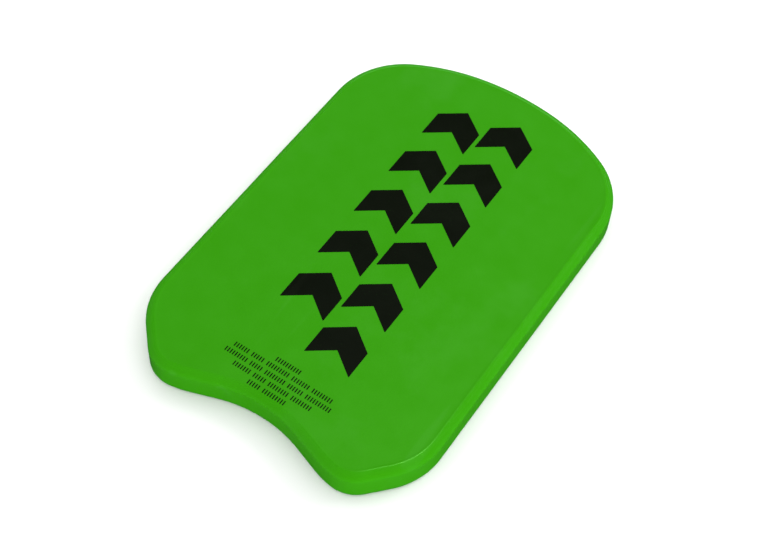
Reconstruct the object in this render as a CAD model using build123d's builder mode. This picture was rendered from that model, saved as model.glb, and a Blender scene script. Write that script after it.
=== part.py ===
"""Kickboard float: one moulded foam board and the ink printed on its top face.

Millimetres. +Y runs along the board to its nose, +X across it, +Z up.
The origin is the bottom centre of the board's box.
"""

from build123d import *
from math import cos, radians, sin
import os

# Board
board_length = 440
board_width = 292
board_thickness = 30
top_edge_radius = 7
bottom_edge_radius = 4

# Outline of the right half, from the tip of the nose round to the middle of the tail.
# Each stretch runs on tangent to the one before it.
nose_turn = 9.5
shoulder_radius = 195
shoulder_turn = 20
nose_corner_radius = 80
hip_start = 74.5  # how far ahead of the tail the side begins to draw in
hip_radius = 70
hip_turn = 42.5
lobe_radius = 33
lobe_turn = 56
lobe_inner_radius = 100
lobe_inner_turn = 11
flank_length = 24

# Ink
ink_thickness = 0.15
mark_height = 46  # across the board
row_gap = 4
print_offset = -1.3  # the two rows stand this far off the board's centreline
chevron_point = 17  # how far the tip runs ahead of the arms
chevron_body = 29  # along the board, through one arm
left_row_start = -105
left_row_length = 273
left_row_marks = 5
right_row_start = -139
right_row_length = 321
right_row_marks = 6

# Small notice: each line stands for a row of words, drawn as groups of upright ticks.
notice_top_line = -158.5
notice_line_pitch = 7.9
notice_centre = -1.3
tick_width = 1.0
tick_height = 4.6
tick_pitch = 2.6
word_gap_ticks = 1
notice_lines = [[10], [6, 5, 9, 7, 8], [9, 5, 8, 6, 10], [7, 5, 8, 8], [5, 9]]


def rad_sin(angle):
    return sin(radians(angle))


def rad_cos(angle):
    return cos(radians(angle))


# The nose radius follows from the width, and the straight behind the hip from the length.
shoulder_end = nose_turn + shoulder_turn
shoulder_width = shoulder_radius * (rad_sin(shoulder_end) - rad_sin(nose_turn))
corner_width = nose_corner_radius * (1 - rad_sin(shoulder_end))
nose_radius = (board_width / 2 - shoulder_width - corner_width) / rad_sin(nose_turn)
lobe_drop = lobe_radius * (1 - rad_sin(hip_turn))
hip_drop = hip_radius * rad_sin(hip_turn)
hip_straight = (hip_start - hip_drop - lobe_drop) / rad_cos(hip_turn)
notch_turn = hip_turn + lobe_turn + lobe_inner_turn - 90


def outline_half():
    """Draws the right half of the board's outline as a chain of tangent arcs and straights."""
    nose = JernArc((0, board_length / 2), (1, 0), nose_radius, -nose_turn)
    shoulder = JernArc(nose @ 1, nose % 1, shoulder_radius, -shoulder_turn)
    corner = JernArc(shoulder @ 1, shoulder % 1, nose_corner_radius, shoulder_end - 90)
    side = Line(corner @ 1, (board_width / 2, hip_start - board_length / 2))
    hip = JernArc(side @ 1, side % 1, hip_radius, -hip_turn)
    taper = Line(hip @ 1, hip @ 1 + (hip % 1) * hip_straight)
    lobe = JernArc(taper @ 1, taper % 1, lobe_radius, -lobe_turn)
    lobe_inner = JernArc(lobe @ 1, lobe % 1, lobe_inner_radius, -lobe_inner_turn)
    flank = Line(lobe_inner @ 1, lobe_inner @ 1 + (lobe_inner % 1) * flank_length)
    notch_radius = (flank @ 1).X / rad_sin(notch_turn)
    JernArc(flank @ 1, flank % 1, notch_radius, notch_turn)


def chevron_row(start, length, count, row_centre):
    """Draws one row of bold chevrons that point to the nose."""
    pitch = (length - chevron_point - chevron_body) / (count - 1)
    half = mark_height / 2
    with Locations([(row_centre, start + i * pitch) for i in range(count)]):
        Polygon(
            (-half, 0),
            (0, chevron_point),
            (half, 0),
            (half, chevron_body),
            (0, chevron_body + chevron_point),
            (-half, chevron_body),
            align=None,
        )


# The board, one compression-moulded block of closed-cell foam
with BuildPart() as foam_board:
    with BuildSketch() as board_outline:
        with BuildLine() as board_edge:
            outline_half()
            mirror(about=Plane.YZ)
        make_face()
    extrude(amount=board_thickness)
    fillet(foam_board.faces().sort_by(Axis.Z)[-1].edges(), top_edge_radius)
    fillet(foam_board.faces().sort_by(Axis.Z)[0].edges(), bottom_edge_radius)
foam_board.part.label = "foam_board"

print_plane = Plane.XY.offset(board_thickness)
row_step = (mark_height + row_gap) / 2

# The bold marks, two rows along the board
with BuildPart() as print_left_row:
    with BuildSketch(print_plane) as left_row:
        chevron_row(left_row_start, left_row_length, left_row_marks, print_offset - row_step)
    extrude(amount=ink_thickness)
print_left_row.part.label = "print_left_row"

with BuildPart() as print_right_row:
    with BuildSketch(print_plane) as right_row:
        chevron_row(right_row_start, right_row_length, right_row_marks, print_offset + row_step)
    extrude(amount=ink_thickness)
print_right_row.part.label = "print_right_row"


def tick_centres():
    """Lists where every tick of the notice stands, line by line, each line centred."""
    centres = []
    for number, words in enumerate(notice_lines):
        y = notice_top_line - number * notice_line_pitch
        slots = sum(words) + word_gap_ticks * (len(words) - 1)
        x = notice_centre - (slots - 1) * tick_pitch / 2
        for word in words:
            centres += [(x + i * tick_pitch, y) for i in range(word)]
            x += (word + word_gap_ticks) * tick_pitch
    return centres


# The small notice, five centred lines of ticks
with BuildPart() as print_notice:
    with BuildSketch(print_plane) as notice:
        with Locations(tick_centres()):
            Rectangle(tick_width, tick_height)
    extrude(amount=ink_thickness)
print_notice.part.label = "print_notice"

os.makedirs("parts", exist_ok=True)
for piece in (foam_board, print_left_row, print_right_row, print_notice):
    export_step(piece.part, "parts/" + piece.part.label + ".step")
    print(piece.part.label, len(piece.part.solids()), "solids", piece.part.bounding_box())
print("nose radius", round(nose_radius, 1), "straight behind the hip", round(hip_straight, 1))
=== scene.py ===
import math

import bmesh
import bpy
from bpy.props import FloatProperty, FloatVectorProperty, PointerProperty
from mathutils import Matrix, Vector, noise
from mathutils.geometry import delaunay_2d_cdt


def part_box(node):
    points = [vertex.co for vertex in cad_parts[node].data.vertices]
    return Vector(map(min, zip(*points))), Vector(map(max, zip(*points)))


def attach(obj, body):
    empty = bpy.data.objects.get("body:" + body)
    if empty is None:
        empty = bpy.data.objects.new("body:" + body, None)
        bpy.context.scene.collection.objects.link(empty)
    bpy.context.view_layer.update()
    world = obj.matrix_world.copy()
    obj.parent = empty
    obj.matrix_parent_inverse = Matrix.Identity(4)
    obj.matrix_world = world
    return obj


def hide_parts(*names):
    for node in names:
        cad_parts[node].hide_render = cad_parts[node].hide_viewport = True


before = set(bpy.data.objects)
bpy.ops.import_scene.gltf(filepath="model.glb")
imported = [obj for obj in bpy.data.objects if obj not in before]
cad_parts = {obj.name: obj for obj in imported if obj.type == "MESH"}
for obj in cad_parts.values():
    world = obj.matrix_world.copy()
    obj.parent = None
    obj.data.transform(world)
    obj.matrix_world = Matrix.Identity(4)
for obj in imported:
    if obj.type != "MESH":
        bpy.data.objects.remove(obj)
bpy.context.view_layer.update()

bl_info = {
    "name": "Kickboard float",
    "version": (1, 0, 0),
    "blender": (4, 5, 0),
    "location": "3D View > Sidebar > Kickboard",
    "description": "Builds a moulded foam kickboard, the ink on it and a soft studio round it",
    "category": "Object",
}

BOARD_LOW, BOARD_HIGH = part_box("foam_board")
MM = 0.001


# ------------------------------------------------------------------ settings


class BoardSettings(bpy.types.PropertyGroup):
    """Sizes and colours of the foam board."""

    top_edge: FloatProperty(
        name="Top edge roll",
        description="Width and depth of the rolled edge round the top face",
        default=0.007,
        min=0.002,
        max=0.012,
        unit="LENGTH",
    )
    bottom_edge: FloatProperty(
        name="Bottom edge radius",
        description="Radius of the rolled edge round the underside",
        default=0.004,
        min=0.002,
        max=0.012,
        unit="LENGTH",
    )
    crease: FloatProperty(
        name="Crease angle",
        description="Slope at which the crest round the top face runs into its rolled edge",
        default=math.radians(19),
        min=math.radians(2),
        max=math.radians(40),
        subtype="ANGLE",
    )
    swell: FloatProperty(
        name="Surface swell",
        description="Height of the slow unevenness that moulded foam has",
        default=0.00016,
        min=0.0,
        max=0.001,
        unit="LENGTH",
    )
    grid: FloatProperty(
        name="Face spacing",
        description="Spacing of the mesh on the two flat faces",
        default=0.005,
        min=0.002,
        max=0.02,
        unit="LENGTH",
    )
    foam_colour: FloatVectorProperty(
        name="Foam colour",
        description="Colour of the moulded foam skin",
        subtype="COLOR",
        default=(0.0275, 0.268, 0.0),
        min=0.0,
        max=1.0,
    )


class InkSettings(bpy.types.PropertyGroup):
    """Sizes and colour of the printed ink."""

    film: FloatProperty(
        name="Film thickness",
        description="How far the ink stands above the foam",
        default=0.00012,
        min=0.00005,
        max=0.00015,
        unit="LENGTH",
    )
    corner: FloatProperty(
        name="Corner radius",
        description="Radius of the printed corners",
        default=0.0006,
        min=0.0,
        max=0.003,
        unit="LENGTH",
    )
    ink_colour: FloatVectorProperty(
        name="Ink colour",
        description="Colour of the ink",
        subtype="COLOR",
        default=(0.0025, 0.005, 0.0012),
        min=0.0,
        max=1.0,
    )


class StageSettings(bpy.types.PropertyGroup):
    """The studio round the board."""

    azimuth: FloatProperty(
        name="Camera azimuth",
        description="Angle of the camera round the board, from straight behind the tail",
        default=math.radians(30.82),
        subtype="ANGLE",
    )
    elevation: FloatProperty(
        name="Camera elevation",
        description="Angle of the camera above the floor",
        default=math.radians(55.21),
        subtype="ANGLE",
    )
    roll: FloatProperty(
        name="Camera roll",
        description="Turn of the camera about its own view",
        default=math.radians(3.69),
        subtype="ANGLE",
    )
    distance: FloatProperty(
        name="Camera distance",
        description="From the camera to the point it looks at",
        default=1.355,
        unit="LENGTH",
    )
    aim: FloatVectorProperty(
        name="Camera aim",
        description="The point on the board that the camera looks at",
        subtype="XYZ",
        unit="LENGTH",
        default=(0.0129, -0.0409, 0.0302),
    )
    lens: FloatProperty(
        name="Focal length",
        description="Focal length of the lens in millimetres, on a 36 mm wide sensor",
        default=73.15,
    )
    floor_colour: FloatVectorProperty(
        name="Floor colour",
        description="Colour of the pale floor",
        subtype="COLOR",
        default=(0.96, 0.96, 0.96),
        min=0.0,
        max=1.0,
    )


# ------------------------------------------------------------------ outline

# The right half of the outline, from the tip of the nose to the middle of the tail,
# as (radius in mm, turn in degrees) for an arc and (length in mm, 0) for a straight.
NOSE_TURN = 9.5
SHOULDER = (195.0, 20.0)
NOSE_CORNER_RADIUS = 80.0
# How far ahead of the tail the side begins to draw in, in mm
HIP_START = 74.5
HIP = (70.0, 42.5)
LOBE = (33.0, 56.0)
LOBE_INNER = (100.0, 11.0)
FLANK_LENGTH = 24.0
# From one point of the outline to the next, in mm
OUTLINE_STEP = 2.5


def sine(angle):
    return math.sin(math.radians(angle))


def outline_chain():
    """The stretches of the right half, worked out so that they meet the board's box."""
    half_width = BOARD_HIGH.x / MM
    shoulder_end = NOSE_TURN + SHOULDER[1]
    beside = SHOULDER[0] * (sine(shoulder_end) - sine(NOSE_TURN))
    beside += NOSE_CORNER_RADIUS * (1 - sine(shoulder_end))
    nose_radius = (half_width - beside) / sine(NOSE_TURN)
    drop = HIP[0] * sine(HIP[1]) + LOBE[0] * (1 - sine(HIP[1]))
    taper = (HIP_START - drop) / sine(90 - HIP[1])
    return [
        (nose_radius, NOSE_TURN),
        SHOULDER,
        (NOSE_CORNER_RADIUS, 90 - shoulder_end),
        "side",
        HIP,
        (taper, 0),
        LOBE,
        LOBE_INNER,
        (FLANK_LENGTH, 0),
        "notch",
    ]


def walk_outline():
    """Points of the right half with their outward normals, in metres, nose first."""
    place = Vector((0.0, BOARD_HIGH.y / MM))
    heading = 0.0
    samples = [(place.copy(), heading)]

    def straight(length):
        steps = max(1, round(length / OUTLINE_STEP))
        start = place.copy()
        along = Vector((math.cos(heading), math.sin(heading)))
        for i in range(1, steps + 1):
            place[:] = start + along * (length * i / steps)
            samples.append((place.copy(), heading))

    def arc(radius, turn, heading, side=-1):
        steps = max(2, round(radius * abs(math.radians(turn)) / OUTLINE_STEP))
        centre = place + Vector((-math.sin(heading), math.cos(heading))) * radius * side
        for i in range(1, steps + 1):
            angle = heading + side * math.radians(turn) * i / steps
            place[:] = centre + Vector((math.sin(angle), -math.cos(angle))) * radius * side
            samples.append((place.copy(), angle))
        return heading + side * math.radians(turn)

    for stretch in outline_chain():
        if stretch == "side":
            straight(place.y - (BOARD_LOW.y / MM + HIP_START))
        elif stretch == "notch":
            turn = math.degrees(-heading) - 180
            heading = arc(place.x / sine(turn), turn, heading, side=1)
        elif stretch[1] == 0:
            straight(stretch[0])
        else:
            heading = arc(stretch[0], stretch[1], heading)
    return [
        (p * MM, Vector((-math.sin(angle), math.cos(angle)))) for p, angle in samples
    ]


def closed_outline():
    """The whole outline, clockwise seen from above, as points and outward normals."""
    right = walk_outline()
    left = [
        (Vector((-p.x, p.y)), Vector((-n.x, n.y))) for p, n in reversed(right[1:-1])
    ]
    return right + left


# Waves per metre of the faces' unevenness, and the quick waves' share of it
SLOW_WAVES = 9.0
QUICK_WAVES = 26.0
QUICK_SHARE = 0.35


def swell_at(x, y, height):
    """Slow unevenness of a moulded face at one point, as a height."""
    slow = noise.noise(Vector((x * SLOW_WAVES, y * SLOW_WAVES, 3.7)))
    quick = noise.noise(Vector((x * QUICK_WAVES, y * QUICK_WAVES, 8.1)))
    return height * (slow + QUICK_SHARE * quick)


def top_at(x, y):
    """Height of the board's top face at one point."""
    return BOARD_HIGH.z + swell_at(x, y, bpy.context.scene.kickboard_board.swell)


# ------------------------------------------------------------------ meshes

# The crest that runs just inside the rolled top edge
CREST_ROWS = 8
CREST_WIDTH = 0.003
# There is no crest within this distance of the middle of the tail, and a full one
# from twice as far out.
NOTCH_CALM = 0.026

# Rings of the mesh in the rest of the wall's section
TOP_EDGE_ROWS = 12
WALL_ROWS = 6
BOTTOM_EDGE_ROWS = 6
# The rim's polish, rub and painted highlight die out over one part in this many of the rolled top
# edge
RIM_PARTS = 3

# Depth of the wall's hollows, half of which also draws the whole wall in,
# and their waves per metre along the board and up the wall
WALL_SWELL = 0.0003
WALL_WAVES = 14.0
WALL_WAVES_UP = 40.0

# How near the edge a face's inner points may come, as a share of their spacing
EDGE_CLEARANCE = 0.55
# Triangles that differ by less than these angles are joined into quads
JOIN_BEND = math.radians(20)
JOIN_SKEW = math.radians(30)
SHARP_ANGLE = math.radians(40)

# Printed shapes
CORNER_STEPS = 3
MARK_SPACING = 0.005
TICK_SPACING = 0.002
# A tick is narrow, so its corners have only this share of the marks' corner radius
TICK_CORNER_SHARE = 0.4
# How deep a film sits in the foam, as a share of its thickness above it
FILM_BEDDING = 0.5


def fill_grid(bm, ring, spacing, height_at, upwards):
    """Fills a closed ring of vertices with an even grid of faces at the height asked for."""
    flat = [v.co.xy for v in ring]
    low = Vector((min(p.x for p in flat), min(p.y for p in flat)))
    high = Vector((max(p.x for p in flat), max(p.y for p in flat)))
    columns = int((high.x - low.x) / spacing) + 1
    rows = int((high.y - low.y) / spacing) + 1
    inner = []
    for i in range(columns):
        for j in range(rows):
            p = Vector((low.x + (i + 0.5) * spacing, low.y + (j + 0.5) * spacing))
            if clear_of_ring(p, flat, spacing * EDGE_CLEARANCE):
                inner.append(p)
    count = len(flat)
    edges = [(i, (i + 1) % count) for i in range(count)]
    points, _, faces, origins, _, _ = delaunay_2d_cdt(flat + inner, edges, [], 1, 1e-7)
    made = []
    for point, origin in zip(points, origins):
        if origin and origin[0] < count:
            made.append(ring[origin[0]])
        else:
            made.append(bm.verts.new((point.x, point.y, height_at(point.x, point.y))))
    new_faces = []
    for face in faces:
        corners = [made[i] for i in face]
        if len(set(corners)) < 3:
            continue
        new_faces.append(bm.faces.new(corners))
    for face in new_faces:
        face.normal_update()
        if (face.normal.z > 0) != upwards:
            face.normal_flip()
    bmesh.ops.join_triangles(
        bm,
        faces=new_faces,
        angle_face_threshold=JOIN_BEND,
        angle_shape_threshold=JOIN_SKEW,
    )


def clear_of_ring(p, flat, margin):
    """True where a point is inside a ring and at least a margin away from its edges."""
    inside = False
    last = flat[-1]
    for here in flat:
        if (here.y > p.y) != (last.y > p.y):
            across = (last.x - here.x) * (p.y - here.y) / (last.y - here.y) + here.x
            if p.x < across:
                inside = not inside
        run = here - last
        share = max(0.0, min(1.0, (p - last).dot(run) / max(run.length_squared, 1e-18)))
        if (p - (last + run * share)).length < margin:
            return False
        last = here
    return inside


def finish_mesh(bm, name, material):
    """Turns a bmesh into a smooth-shaded object in the scene."""
    bm.normal_update()
    mesh = bpy.data.meshes.new(name)
    bm.to_mesh(mesh)
    bm.free()
    mesh.shade_smooth()
    mesh.set_sharp_from_angle(angle=SHARP_ANGLE)
    mesh.materials.append(material)
    piece = bpy.data.objects.new(name, mesh)
    bpy.context.scene.collection.objects.link(piece)
    return piece


def edge_profile(settings):
    """The wall in section, from the top face to the underside, as (inset, height, rim) rows; the rim
    value marks the crease, which gets polish, rub and a painted highlight.

    The top face swells into a low crest, breaks over it and rolls into the wall.
    """
    top, bottom = BOARD_HIGH.z, BOARD_LOW.z
    r, s, crease = settings.top_edge, settings.bottom_edge, settings.crease
    rows = []
    for i in range(CREST_ROWS):
        share = i / CREST_ROWS
        rise = math.tan(crease) * CREST_WIDTH * (share**2 - share**3)
        rows.append((r + CREST_WIDTH * (1 - share), top + rise, share**2))
    for i in range(TOP_EDGE_ROWS + 1):
        t = i / TOP_EDGE_ROWS
        drop = r * (2 * t * (1 - t) * math.tan(crease) + t**2)
        rows.append((r * (1 - t) ** 2, top - drop, max(0.0, 1 - RIM_PARTS * t)))
    wall_top = rows[-1][1]
    for i in range(1, WALL_ROWS):
        rows.append((0.0, wall_top + (bottom + s - wall_top) * i / WALL_ROWS, 0.0))
    for i in range(BOTTOM_EDGE_ROWS + 1):
        angle = math.pi / 2 * i / BOTTOM_EDGE_ROWS
        rows.append((s * (1 - math.cos(angle)), bottom + s * (1 - math.sin(angle)), 0.0))
    return rows


def crest_at(p):
    """How much of the crest stands at one point of the outline: it dies out in the tail notch."""
    if p.y > 0:
        return 1.0
    share = max(0.0, min(1.0, (abs(p.x) - NOTCH_CALM) / NOTCH_CALM))
    return share * share * (3 - 2 * share)


def build_board(settings, material):
    """The foam board: rolled edges swept round the outline, closed by two gridded faces."""
    bm = bmesh.new()
    outline = closed_outline()
    rings = []
    # Mask along the crease of the top edge: polish and rub wear there, and where the painted
    # highlight goes
    rim_wear_and_sheen_layer = bm.verts.layers.float.new("rim_wear_and_sheen")
    for inset, z, rim_wear_and_sheen in edge_profile(settings):
        ring = []
        for p, n in outline:
            spot = p - n * inset
            crest = max(0.0, z - BOARD_HIGH.z)
            lift = (crest_at(p) - 1) * crest
            lift += swell_at(spot.x, spot.y, settings.swell) * (z - BOARD_LOW.z) / BOARD_HIGH.z
            waves = Vector((p.x * WALL_WAVES, p.y * WALL_WAVES, z * WALL_WAVES_UP))
            ease = WALL_SWELL * noise.noise(waves)
            ease *= math.sin(math.pi * (z - BOARD_LOW.z) / (BOARD_HIGH.z - BOARD_LOW.z))
            spot += n * min(0.0, ease - WALL_SWELL * 0.5)
            vert = bm.verts.new((spot.x, spot.y, z + lift))
            vert[rim_wear_and_sheen_layer] = rim_wear_and_sheen
            ring.append(vert)
        rings.append(ring)
    count = len(outline)
    for above, below in zip(rings, rings[1:]):
        for i in range(count):
            j = (i + 1) % count
            bm.faces.new((above[i], below[i], below[j], above[j]))
    fill_grid(bm, rings[0], settings.grid, top_at, True)
    fill_grid(bm, rings[-1], settings.grid, lambda x, y: BOARD_LOW.z, False)
    bmesh.ops.recalc_face_normals(bm, faces=bm.faces)
    return finish_mesh(bm, "board_foam", material)


def round_corners(corners, radius):
    """A closed run of corners with each one rounded by a short arc of points."""
    if radius <= 0:
        return corners
    made = []
    count = len(corners)
    for i, corner in enumerate(corners):
        before = (corners[i - 1] - corner).normalized()
        after = (corners[(i + 1) % count] - corner).normalized()
        half = before.angle(after) / 2
        reach = radius / math.tan(half)
        start, end = corner + before * reach, corner + after * reach
        for k in range(CORNER_STEPS + 1):
            t = k / CORNER_STEPS
            made.append(start * (1 - t) ** 2 + corner * 2 * t * (1 - t) + end * t**2)
    return made


def divide_run(corners, spacing):
    """A closed run of points with every long side divided evenly."""
    made = []
    for here, there in zip(corners, corners[1:] + corners[:1]):
        steps = max(1, round((there - here).length / spacing))
        made += [here.lerp(there, i / steps) for i in range(steps)]
    return made


def add_film(bm, corners, settings, spacing):
    """One printed shape: an ink film that follows the top face, with a thin closed edge."""
    flat = divide_run(round_corners(corners, settings.corner), spacing)
    film = settings.film
    bedding = film * FILM_BEDDING
    top = [bm.verts.new((p.x, p.y, top_at(p.x, p.y) + film)) for p in flat]
    under = [bm.verts.new((p.x, p.y, top_at(p.x, p.y) - bedding)) for p in flat]
    count = len(flat)
    for i in range(count):
        j = (i + 1) % count
        bm.faces.new((top[j], top[i], under[i], under[j]))
    fill_grid(bm, top, spacing, lambda x, y: top_at(x, y) + film, True)
    fill_grid(bm, under, spacing, lambda x, y: top_at(x, y) - bedding, False)


class TickFilm:
    """The ink settings as a tick uses them, with corners small enough for its width."""

    def __init__(self, settings):
        self.film = settings.film
        self.corner = settings.corner * TICK_CORNER_SHARE


# ------------------------------------------------------------------ marks

CHEVRON_POINT = 17.0
CHEVRON_BODY = 29.0
ROW_MARKS = {"print_left_row": 5, "print_right_row": 6}
TICK = (1.0, 4.6)
TICK_PITCH = 2.6
NOTICE_LINES = [[10], [6, 5, 9, 7, 8], [9, 5, 8, 6, 10], [7, 5, 8, 8], [5, 9]]
NOTICE_PITCH = 7.9


def chevrons(node):
    """The corners of every chevron in one row, laid out inside the row's box."""
    low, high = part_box(node)
    count = ROW_MARKS[node]
    point, body = CHEVRON_POINT * MM, CHEVRON_BODY * MM
    pitch = (high.y - low.y - point - body) / (count - 1)
    middle = (low.x + high.x) / 2
    for i in range(count):
        y = low.y + i * pitch
        yield [
            Vector((low.x, y)),
            Vector((middle, y + point)),
            Vector((high.x, y)),
            Vector((high.x, y + body)),
            Vector((middle, y + point + body)),
            Vector((low.x, y + body)),
        ]


def ticks(node):
    """The corners of every tick of the small notice, line by line, each line centred."""
    low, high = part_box(node)
    middle = (low.x + high.x) / 2
    width, height = TICK[0] * MM, TICK[1] * MM
    for number, words in enumerate(NOTICE_LINES):
        y = high.y - height - number * NOTICE_PITCH * MM
        slots = sum(words) + len(words) - 1
        x = middle - ((slots - 1) * TICK_PITCH * MM + width) / 2
        for word in words:
            for i in range(word):
                left = x + i * TICK_PITCH * MM
                yield [
                    Vector((left, y)),
                    Vector((left + width, y)),
                    Vector((left + width, y + height)),
                    Vector((left, y + height)),
                ]
            x += (word + 1) * TICK_PITCH * MM


# ------------------------------------------------------------------ materials


def new_group(name, inputs, outputs):
    """A shader node group with named sockets, given as (name, type, default) rows."""
    group = bpy.data.node_groups.new(name, "ShaderNodeTree")
    for label, kind, default in inputs:
        socket = group.interface.new_socket(label, in_out="INPUT", socket_type=kind)
        if default is not None:
            socket.default_value = default
    for label, kind in outputs:
        group.interface.new_socket(label, in_out="OUTPUT", socket_type=kind)
    return group, group.nodes.new("NodeGroupInput"), group.nodes.new("NodeGroupOutput")


def put(tree, kind, links=None, **values):
    """Adds a node, sets its properties, and links or sets the inputs that are named."""
    node = tree.nodes.new(kind)
    for key, value in values.items():
        setattr(node, key, value)
    for key, value in (links or {}).items():
        socket = node.inputs[key]
        if isinstance(value, bpy.types.NodeSocket):
            tree.links.new(value, socket)
        else:
            socket.default_value = value
    return node


def skin_grain_group():
    """Moulded foam skin: fine pebbling, closed cells that show as pits, and slow ripples."""
    group, given, result = new_group(
        "Moulded skin grain",
        [
            ("Vector", "NodeSocketVector", None),
            ("Pebble Scale", "NodeSocketFloat", 900.0),
            ("Pit Scale", "NodeSocketFloat", 420.0),
            ("Ripple Scale", "NodeSocketFloat", 45.0),
        ],
        [("Height", "NodeSocketFloat"), ("Pits", "NodeSocketFloat"), ("Mottle", "NodeSocketFloat")],
    )
    at = given.outputs["Vector"]
    pebble = put(
        group, "ShaderNodeTexVoronoi", {"Vector": at, "Scale": given.outputs["Pebble Scale"]},
        feature="SMOOTH_F1",
    )
    cells = put(group, "ShaderNodeTexVoronoi", {"Vector": at, "Scale": given.outputs["Pit Scale"]})
    pits = put(
        group, "ShaderNodeMapRange",
        {
            "Value": cells.outputs["Distance"],
            "From Min": 0.04, "From Max": 0.16, "To Min": 1.0, "To Max": 0.0,
        },
    )
    ripple = put(
        group, "ShaderNodeTexNoise",
        {"Vector": at, "Scale": given.outputs["Ripple Scale"], "Detail": 3.0, "Roughness": 0.5},
    )
    sparse = put(
        group, "ShaderNodeTexNoise",
        {"Vector": at, "Scale": given.outputs["Pit Scale"], "Detail": 1.0},
    )
    chosen = put(
        group, "ShaderNodeMapRange",
        {"Value": sparse.outputs["Fac"], "From Min": 0.52, "From Max": 0.6},
    )
    shown = put(
        group, "ShaderNodeMath", {0: pits.outputs[0], 1: chosen.outputs[0]}, operation="MULTIPLY"
    )
    raised = put(
        group, "ShaderNodeMath",
        {0: pebble.outputs["Distance"], 1: -0.35, 2: ripple.outputs["Fac"]},
        operation="MULTIPLY_ADD",
    )
    height = put(
        group, "ShaderNodeMath", {0: shown.outputs[0], 1: -0.5, 2: raised.outputs[0]},
        operation="MULTIPLY_ADD",
    )
    group.links.new(height.outputs[0], result.inputs["Height"])
    group.links.new(shown.outputs[0], result.inputs["Pits"])
    group.links.new(ripple.outputs["Fac"], result.inputs["Mottle"])
    return group


def scuff_group():
    """Faint rubbed patches and hairline scratches, as one mask."""
    group, given, result = new_group(
        "Scuffs",
        [
            ("Vector", "NodeSocketVector", None),
            ("Patch Scale", "NodeSocketFloat", 14.0),
            ("Scratch Scale", "NodeSocketFloat", 60.0),
        ],
        [("Mask", "NodeSocketFloat")],
    )
    at = given.outputs["Vector"]
    patches = put(
        group, "ShaderNodeTexNoise",
        {"Vector": at, "Scale": given.outputs["Patch Scale"], "Detail": 5.0, "Roughness": 0.62},
    )
    worn = put(
        group, "ShaderNodeMapRange",
        {"Value": patches.outputs["Fac"], "From Min": 0.56, "From Max": 0.74},
    )
    stretched = put(
        group, "ShaderNodeMapping",
        {"Vector": at, "Rotation": (0.0, 0.0, 0.55), "Scale": (1.0, 0.07, 1.0)},
    )
    lines = put(
        group, "ShaderNodeTexNoise",
        {"Vector": stretched.outputs[0], "Scale": given.outputs["Scratch Scale"], "Detail": 2.0},
    )
    hair = put(
        group, "ShaderNodeMapRange",
        {"Value": lines.outputs["Fac"], "From Min": 0.66, "From Max": 0.72},
    )
    both = put(group, "ShaderNodeMath", {0: worn.outputs[0], 1: hair.outputs[0]}, operation="MAXIMUM")
    group.links.new(both.outputs[0], result.inputs["Mask"])
    return group


def new_material(name):
    material = bpy.data.materials.new(name)
    material.use_nodes = True
    tree = material.node_tree
    tree.nodes.clear()
    out = tree.nodes.new("ShaderNodeOutputMaterial")
    shader = tree.nodes.new("ShaderNodeBsdfPrincipled")
    tree.links.new(shader.outputs[0], out.inputs["Surface"])
    return material, tree, shader


def tint(colour, factor, lift=0.0):
    """A colour made lighter or darker, as four numbers."""
    return tuple(min(1.0, c * factor + lift) for c in colour) + (1.0,)


def mix_colour(tree, factor, first, second):
    node = put(tree, "ShaderNodeMix", data_type="RGBA")
    for key, value in ((0, factor), (6, first), (7, second)):
        if isinstance(value, bpy.types.NodeSocket):
            tree.links.new(value, node.inputs[key])
        else:
            node.inputs[key].default_value = value
    return node.outputs[2]


def place_wear(tree):
    """The skin grain and the scuffs, placed in a material at the piece's own coordinates."""
    at = put(tree, "ShaderNodeTexCoord").outputs["Object"]
    grain = put(tree, "ShaderNodeGroup", node_tree=bpy.data.node_groups["Moulded skin grain"])
    scuffs = put(tree, "ShaderNodeGroup", node_tree=bpy.data.node_groups["Scuffs"])
    tree.links.new(at, grain.inputs["Vector"])
    tree.links.new(at, scuffs.inputs["Vector"])
    return grain, scuffs


def share_of(tree, mask, share):
    """A mask turned down to a share of itself."""
    return put(tree, "ShaderNodeMath", {0: mask, 1: share}, operation="MULTIPLY").outputs[0]


# Light that glances off the dyed skin keeps most of the foam's own colour.
FOAM_GLOSS = (0.35, 1.0, 0.2, 1.0)


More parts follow.
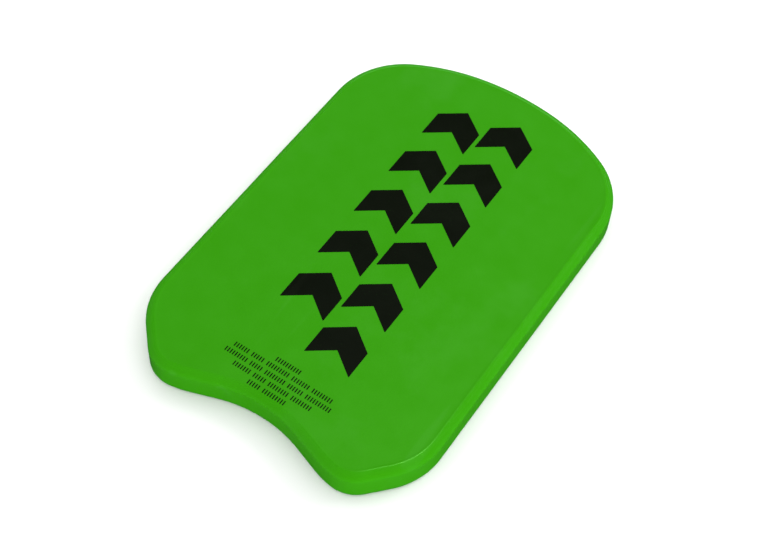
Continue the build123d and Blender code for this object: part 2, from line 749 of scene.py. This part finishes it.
def foam_material(colour):
    """Moulded EVA foam: satin pebbled skin, faint mottling, pits with painted shade, light scuffs,
    and a rubbed crease with a painted highlight.
    """
    material, tree, shader = new_material("moulded_foam_skin")
    grain, scuffs = place_wear(tree)
    rim_wear_and_sheen = put(tree, "ShaderNodeAttribute", attribute_name="rim_wear_and_sheen").outputs["Fac"]

    mottled = mix_colour(tree, grain.outputs["Mottle"], tint(colour, 0.96), tint(colour, 1.04))
    scuffing = share_of(tree, scuffs.outputs["Mask"], 0.10)
    scuffed = mix_colour(tree, scuffing, mottled, tint(colour, 1.2, 0.03))
    # Lighter along the crease of the top edge: rubbed wear, and a painted highlight along the crease
    # line
    rub_and_sheen_share = share_of(tree, rim_wear_and_sheen, 0.16)
    rubbed_and_sheen = mix_colour(tree, rub_and_sheen_share, scuffed, tint(colour, 1.15, 0.015))
    # Darker in the closed-cell pits, which the bump also sinks: painted shade in the pits
    pit_shade_share = share_of(tree, grain.outputs["Pits"], 0.35)
    pit_shaded = mix_colour(tree, pit_shade_share, rubbed_and_sheen, tint(colour, 0.7))
    tree.links.new(pit_shaded, shader.inputs["Base Color"])

    rough = put(
        tree, "ShaderNodeMapRange",
        {
            "Value": grain.outputs["Mottle"],
            "From Min": 0.25, "From Max": 0.75, "To Min": 0.32, "To Max": 0.42,
        },
    )
    worn_rough = put(
        tree, "ShaderNodeMath",
        {0: scuffs.outputs["Mask"], 1: 0.10, 2: rough.outputs[0]}, operation="MULTIPLY_ADD",
    )
    polished = put(
        tree, "ShaderNodeMath", {0: rim_wear_and_sheen, 1: -0.16, 2: worn_rough.outputs[0]}, operation="MULTIPLY_ADD"
    )
    tree.links.new(polished.outputs[0], shader.inputs["Roughness"])
    bump = put(
        tree, "ShaderNodeBump",
        {"Strength": 0.45, "Distance": 0.00025, "Height": grain.outputs["Height"]},
    )
    tree.links.new(bump.outputs[0], shader.inputs["Normal"])
    shader.inputs["Specular IOR Level"].default_value = 0.4
    shader.inputs["Specular Tint"].default_value = FOAM_GLOSS
    return material


def ink_material(colour, foam_colour):
    """Screen-printed ink: dull near-black film with the foam's grain and a few pinholes."""
    material, tree, shader = new_material("printed_ink")
    grain, scuffs = place_wear(tree)
    uneven = mix_colour(tree, grain.outputs["Mottle"], tint(colour, 0.8), tint(colour, 1.25))
    scuffing = share_of(tree, scuffs.outputs["Mask"], 0.15)
    scuffed = mix_colour(tree, scuffing, uneven, tint(colour, 2.0, 0.006))
    holes = share_of(tree, grain.outputs["Pits"], 0.12)
    pinholed = mix_colour(tree, holes, scuffed, tint(foam_colour, 0.6))
    tree.links.new(pinholed, shader.inputs["Base Color"])
    rough = put(
        tree, "ShaderNodeMapRange",
        {
            "Value": grain.outputs["Mottle"],
            "From Min": 0.25, "From Max": 0.75, "To Min": 0.42, "To Max": 0.58,
        },
    )
    tree.links.new(rough.outputs[0], shader.inputs["Roughness"])
    bump = put(
        tree, "ShaderNodeBump",
        {"Strength": 0.2, "Distance": 0.0002, "Height": grain.outputs["Height"]},
    )
    tree.links.new(bump.outputs[0], shader.inputs["Normal"])
    shader.inputs["Specular IOR Level"].default_value = 0.06
    return material


def floor_material(colour):
    """The pale studio floor, with a trace of unevenness in its tone."""
    material, tree, shader = new_material("studio_floor")
    at = put(tree, "ShaderNodeTexCoord").outputs["Object"]
    tone = put(tree, "ShaderNodeTexNoise", {"Vector": at, "Scale": 3.0, "Detail": 2.0})
    painted = mix_colour(tree, tone.outputs["Fac"], tint(colour, 0.995), tint(colour, 1.005))
    tree.links.new(painted, shader.inputs["Base Color"])
    shader.inputs["Roughness"].default_value = 0.9
    shader.inputs["Specular IOR Level"].default_value = 0.0
    return material


# ------------------------------------------------------------------ operators


def made_once(name, maker, *values):
    """The material or node group of that name, made on first use."""
    for store in (bpy.data.materials, bpy.data.node_groups):
        if name in store:
            return store[name]
    return maker(*values)


def make_wear_groups():
    """The node groups that the foam and the ink share."""
    made_once("Moulded skin grain", skin_grain_group)
    made_once("Scuffs", scuff_group)


def ink_for_scene():
    """The ink material, with the node groups it needs."""
    make_wear_groups()
    scene = bpy.context.scene
    return made_once(
        "printed_ink",
        ink_material,
        scene.kickboard_ink.ink_colour,
        scene.kickboard_board.foam_colour,
    )


class KICKBOARD_OT_foam(bpy.types.Operator):
    """Build the moulded foam board"""

    bl_idname = "kickboard.foam"
    bl_label = "Foam board"

    def execute(self, context):
        settings = context.scene.kickboard_board
        make_wear_groups()
        board = build_board(settings, foam_material(settings.foam_colour))
        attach(board, "root")
        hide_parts("foam_board")
        return {"FINISHED"}


class KICKBOARD_OT_marks(bpy.types.Operator):
    """Print the two rows of bold chevrons"""

    bl_idname = "kickboard.marks"
    bl_label = "Bold marks"

    def execute(self, context):
        settings = context.scene.kickboard_ink
        ink = ink_for_scene()
        for node in ROW_MARKS:
            bm = bmesh.new()
            for corners in chevrons(node):
                add_film(bm, corners, settings, MARK_SPACING)
            piece = finish_mesh(bm, node.replace("print", "ink"), ink)
            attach(piece, "root")
            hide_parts(node)
        return {"FINISHED"}


class KICKBOARD_OT_notice(bpy.types.Operator):
    """Print the small notice as lines of ticks"""

    bl_idname = "kickboard.notice"
    bl_label = "Small notice"

    def execute(self, context):
        settings = context.scene.kickboard_ink
        bm = bmesh.new()
        for corners in ticks("print_notice"):
            add_film(bm, corners, TickFilm(settings), TICK_SPACING)
        piece = finish_mesh(bm, "ink_notice", ink_for_scene())
        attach(piece, "root")
        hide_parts("print_notice")
        return {"FINISHED"}


def area_light(name, azimuth, elevation, distance, size, watts, soft, shine):
    """A soft light that faces the board, placed by its bearing from +X towards +Y."""
    bearing, height = math.radians(azimuth), math.radians(elevation)
    away = Vector((
        math.cos(height) * math.cos(bearing),
        math.cos(height) * math.sin(bearing),
        math.sin(height),
    ))
    data = bpy.data.lights.new(name, "AREA")
    data.shape = "RECTANGLE"
    data.size, data.size_y = size
    data.energy = watts
    light = bpy.data.objects.new(name, data)
    light.location = away * distance
    light.rotation_mode = "QUATERNION"
    light.rotation_quaternion = away.to_track_quat("Z", "Y")
    light.visible_diffuse = soft
    light.visible_glossy = shine
    bpy.context.scene.collection.objects.link(light)


# name, bearing and height in degrees, distance in m, size in m, watts,
# whether it lights plain surfaces, whether it shows as a gloss
LIGHTS = (
    ("nose_right", 50, 40, 1.8, (0.9, 0.5), 9.2, True, False),
    ("behind_nose", 95, 12, 2.0, (1.6, 0.4), 7.9, True, False),
    ("behind_left", 140, 12, 2.0, (1.2, 0.4), 9.6, True, False),
    ("before_tail", -95, 4, 2.0, (1.6, 0.16), 4.5, True, False),
    ("tail_corner", -48, 4, 1.8, (1.0, 0.16), 8.0, True, False),
    ("right_low", -2, 4, 1.8, (1.6, 0.16), 9.0, True, False),
    ("crease_gloss", 50, 76, 2.0, (0.4, 0.4), 16.0, False, True),
    ("nose_gloss", 115, 14, 2.0, (1.6, 0.4), 2.0, False, True),
)


# Brightness of the surroundings, as they light plain surfaces and as a gloss shows them
AIR_LIGHT = 1.11
AIR_GLOSS = 0.03

FLOOR_REACH = 6.0
# Keeps the floor clear of the flat underside, which would share its plane.
FLOOR_GAP = 0.0003


class KICKBOARD_OT_stage(bpy.types.Operator):
    """Set up the floor, the soft lights and the camera"""

    bl_idname = "kickboard.stage"
    bl_label = "Studio"

    def execute(self, context):
        settings = context.scene.kickboard_stage
        self.floor(settings)
        self.lights(context.scene)
        self.camera(context.scene, settings)
        return {"FINISHED"}

    def floor(self, settings):
        bm = bmesh.new()
        bmesh.ops.create_grid(bm, x_segments=8, y_segments=8, size=FLOOR_REACH)
        floor = finish_mesh(bm, "floor", floor_material(settings.floor_colour))
        floor.location.z = BOARD_LOW.z - FLOOR_GAP
        floor.visible_glossy = False

    def lights(self, scene):
        world = bpy.data.worlds.new("studio")
        world.use_nodes = True
        tree = world.node_tree
        open_air = tree.nodes["Background"]
        open_air.inputs["Color"].default_value = (1, 1, 1, 1)
        open_air.inputs["Strength"].default_value = AIR_LIGHT
        path = tree.nodes.new("ShaderNodeLightPath")
        dark = put(
            tree, "ShaderNodeBackground", {"Color": (1, 1, 1, 1), "Strength": AIR_GLOSS}
        )
        both = put(
            tree, "ShaderNodeMixShader",
            {0: path.outputs["Is Glossy Ray"], 1: open_air.outputs[0], 2: dark.outputs[0]},
        )
        tree.links.new(both.outputs[0], tree.nodes["World Output"].inputs["Surface"])
        scene.world = world
        for values in LIGHTS:
            area_light(*values)
        scene.view_settings.view_transform = "Standard"

    def camera(self, scene, settings):
        azimuth, elevation, roll = settings.azimuth, settings.elevation, settings.roll
        back = Vector((
            math.sin(azimuth) * math.cos(elevation),
            -math.cos(azimuth) * math.cos(elevation),
            math.sin(elevation),
        ))
        level = Vector((0, 0, 1)).cross(back).normalized()
        upright = back.cross(level)
        right = level * math.cos(roll) + upright * math.sin(roll)
        up = upright * math.cos(roll) - level * math.sin(roll)
        data = bpy.data.cameras.new("camera")
        data.sensor_width = 36.0
        data.lens = settings.lens
        data.clip_start, data.clip_end = 0.05, 50.0
        camera = bpy.data.objects.new("camera", data)
        turn = Matrix((right, up, back)).transposed().to_4x4()
        place = Vector(settings.aim) + back * settings.distance
        camera.matrix_world = Matrix.Translation(place) @ turn
        scene.collection.objects.link(camera)
        scene.camera = camera


class KICKBOARD_PT_panel(bpy.types.Panel):
    """Lists the board's pieces and their settings"""

    bl_idname = "KICKBOARD_PT_panel"
    bl_label = "Kickboard"
    bl_space_type = "VIEW_3D"
    bl_region_type = "UI"
    bl_category = "Kickboard"

    def draw(self, context):
        layout = self.layout
        for operator in OPERATORS:
            layout.operator(operator.bl_idname, text=operator.bl_label)
        for name in SETTINGS:
            group = getattr(context.scene, name)
            box = layout.box()
            for key in group.bl_rna.properties.keys():
                if key not in ("rna_type", "name"):
                    box.prop(group, key)


OPERATORS = (KICKBOARD_OT_stage, KICKBOARD_OT_foam, KICKBOARD_OT_marks, KICKBOARD_OT_notice)
SETTINGS = {
    "kickboard_board": BoardSettings,
    "kickboard_ink": InkSettings,
    "kickboard_stage": StageSettings,
}


def register():
    for cls in (*SETTINGS.values(), *OPERATORS, KICKBOARD_PT_panel):
        bpy.utils.register_class(cls)
    for name, cls in SETTINGS.items():
        setattr(bpy.types.Scene, name, PointerProperty(type=cls))


def unregister():
    for name in SETTINGS:
        delattr(bpy.types.Scene, name)
    for cls in (KICKBOARD_PT_panel, *reversed(OPERATORS), *reversed(SETTINGS.values())):
        bpy.utils.unregister_class(cls)


def main():
    register()
    bpy.ops.kickboard.stage()
    bpy.ops.kickboard.foam()
    bpy.ops.kickboard.marks()
    bpy.ops.kickboard.notice()


if __name__ == "__main__":
    main()
